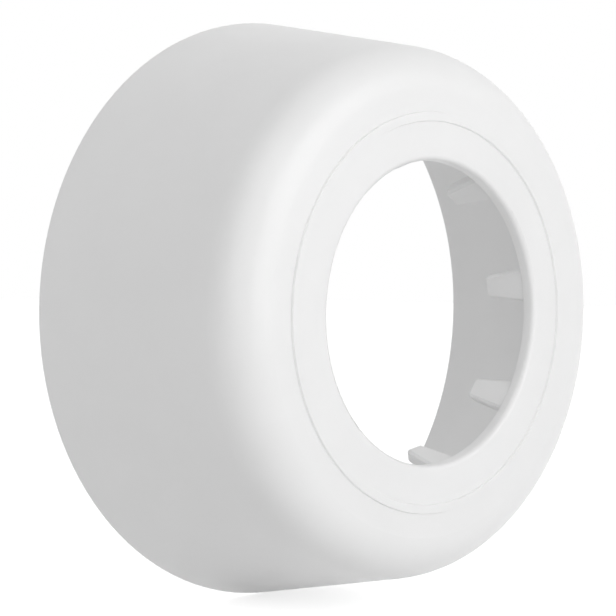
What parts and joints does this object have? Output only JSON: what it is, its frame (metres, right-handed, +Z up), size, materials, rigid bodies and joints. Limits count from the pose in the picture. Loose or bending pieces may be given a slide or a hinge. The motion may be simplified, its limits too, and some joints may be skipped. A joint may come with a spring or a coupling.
{
  "type": "pipe rosette",
  "caption": "Deep tapered pipe rosette moulded in white plastic: an open-backed cup with a soft rounded front edge, a low ring around the round pipe bore and gripping tongues behind it.",
  "frame": {"origin": "centre of the open back rim, where the pipe's axis meets the wall's surface", "axes": "+Y along the pipe's axis into the wall, so the front face looks towards -Y; +Z up the wall; +X to the right as seen from the front"},
  "size_m": [0.07, 0.0272, 0.07],
  "materials": {
    "white_plastic": "smooth moulded plastic with a soft gloss"
  },
  "bodies": {
    "root": {"rosette": "white_plastic"}
  },
  "joints": []
}
